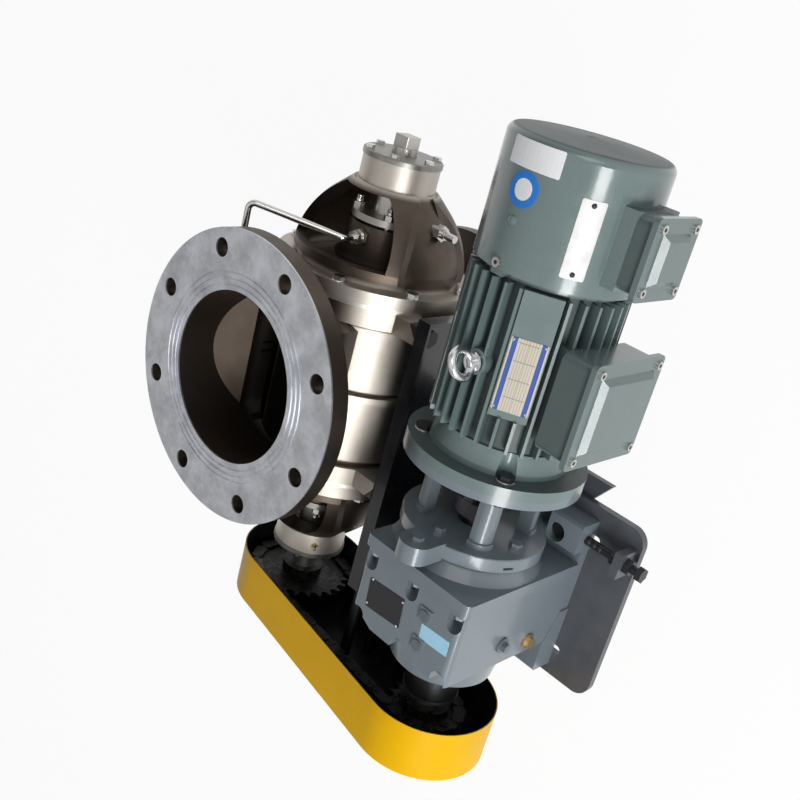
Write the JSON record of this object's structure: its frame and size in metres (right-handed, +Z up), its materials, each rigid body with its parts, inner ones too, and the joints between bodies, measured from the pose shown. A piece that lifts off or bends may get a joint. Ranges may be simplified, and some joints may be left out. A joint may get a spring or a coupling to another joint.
{
  "type": "rotary airlock valve",
  "caption": "Round-ported rotary airlock valve with outboard bearings, driven by chain from a geared motor on a side bracket.",
  "frame": {"origin": "centre of the outlet flange face, on which the valve stands", "axes": "+Z up through both ports, +X along the rotor shaft towards the free end, +Y across, away from the geared motor"},
  "size_m": [0.727, 0.613, 0.39],
  "materials": {
    "cast_stainless": "blasted cast stainless steel, satin",
    "machined_steel": "turned and ground steel",
    "bright_bolts": "bright stainless fasteners",
    "black_bolts": "black oxide fasteners",
    "bearing_steel": "ground bearing steel",
    "packing": "braided packing, greased",
    "guard_yellow": "yellow powder coat outside, black inside",
    "bracket_black": "black powder coat",
    "plate_grey": "dark grey paint",
    "unit_grey": "blue-grey gearbox enamel",
    "motor_green": "grey-green motor enamel",
    "chain_steel": "oiled dark steel",
    "sprocket_steel": "blackened steel",
    "gear_steel": "case-hardened ground teeth",
    "plug_brass": "plated plug",
    "winding_red": "varnished winding and stack",
    "fan_plastic": "black fan plastic"
  },
  "bodies": {
    "valve": {"valve_body": "cast_stainless", "free_end_cover": "cast_stainless", "drive_end_cover": "cast_stainless", "cover_bolts": "bright_bolts", "rotor_bearings": "bearing_steel", "free_bearing_cap": "machined_steel", "drive_bearing_cap": "machined_steel", "bearing_cap_bolts": "bright_bolts", "packing_rings": "packing", "gland_followers": "machined_steel", "gland_studs": "bright_bolts", "purge_tube": "machined_steel", "purge_fittings": "bright_bolts", "chain_guard": "guard_yellow", "guard_stays": "machined_steel", "guard_nuts": "black_bolts", "bracket_back_plate": "bracket_black", "bracket_shelf": "bracket_black", "bracket_bolts": "black_bolts", "base_plate": "plate_grey", "base_plate_bolts": "black_bolts", "roller_chain": "chain_steel"},
    "rotor": {"rotor_wheel": "machined_steel", "rotor_shaft": "machined_steel", "driven_sprocket": "sprocket_steel"},
    "drive_unit": {"gear_housing": "unit_grey", "gear_front_plate": "unit_grey", "gear_unit_bolts": "bright_bolts", "foot_bolts": "black_bolts", "oil_plugs": "plug_brass", "lifting_lug": "unit_grey", "input_adaptor": "unit_grey", "motor_flange": "motor_green", "motor_flange_bolts": "black_bolts", "motor_frame": "motor_green", "stator": "winding_red", "rear_end_shield": "motor_green", "fan_cowl": "motor_green", "cowl_screws": "black_bolts", "terminal_box": "motor_green", "terminal_box_lid": "motor_green", "fan_terminal_box": "motor_green", "fan_terminal_lid": "motor_green", "lid_screws": "bright_bolts", "eye_bolt": "machined_steel", "fan_motor": "black_bolts", "output_seal_housing": "black_bolts", "drive_bearings": "bearing_steel", "tension_screw": "black_bolts"},
    "output": {"output_shaft": "machined_steel", "output_gear": "gear_steel", "drive_sprocket": "sprocket_steel"},
    "middle": {"middle_shaft": "gear_steel", "middle_gear": "gear_steel"},
    "motor_rotor": {"input_shaft": "gear_steel", "input_coupling_half": "sprocket_steel", "motor_coupling_half": "sprocket_steel", "motor_shaft": "machined_steel"},
    "fan": {"cooling_fan": "fan_plastic"},
    "tension_nuts": {"tension_nuts": "black_bolts"}
  },
  "joints": [
    {"name": "motor_spin", "type": "hinge", "parent": "drive_unit", "child": "motor_rotor", "pos_m": [0, -0.27803, 0.243], "axis": [1, 0, 0], "continuous": true},
    {"name": "rotor_spin", "type": "hinge", "parent": "valve", "child": "rotor", "pos_m": [0, 0, 0.195], "axis": [1, 0, 0], "continuous": true, "deforming": ["roller_chain"]},
    {"name": "output_spin", "type": "hinge", "parent": "drive_unit", "child": "output", "pos_m": [0, -0.28903, 0.243], "axis": [1, 0, 0], "continuous": true},
    {"name": "middle_spin", "type": "hinge", "parent": "drive_unit", "child": "middle", "pos_m": [0, -0.28353, 0.19079], "axis": [1, 0, 0], "continuous": true},
    {"name": "fan_spin", "type": "hinge", "parent": "drive_unit", "child": "fan", "pos_m": [0, -0.27803, 0.243], "axis": [1, 0, 0], "continuous": true},
    {"name": "drive_slide", "type": "slide", "parent": "valve", "child": "drive_unit", "axis": [0, -1, 0], "range_m": [0, 0.008]},
    {"name": "tension_nut_turn", "type": "hinge", "parent": "valve", "child": "tension_nuts", "pos_m": [-0.06, 0, 0.1445], "axis": [0, -1, 0], "range_deg": [0, 1925]}
  ],
  "couplings": [
    {"joint": "output_spin", "follows": "rotor_spin", "ratio": 1.4706},
    {"joint": "middle_spin", "follows": "rotor_spin", "ratio": -7.1078},
    {"joint": "motor_spin", "follows": "rotor_spin", "ratio": 42.647},
    {"joint": "tension_nut_turn", "follows": "drive_slide", "rad_per_m": 4188.8}
  ]
}
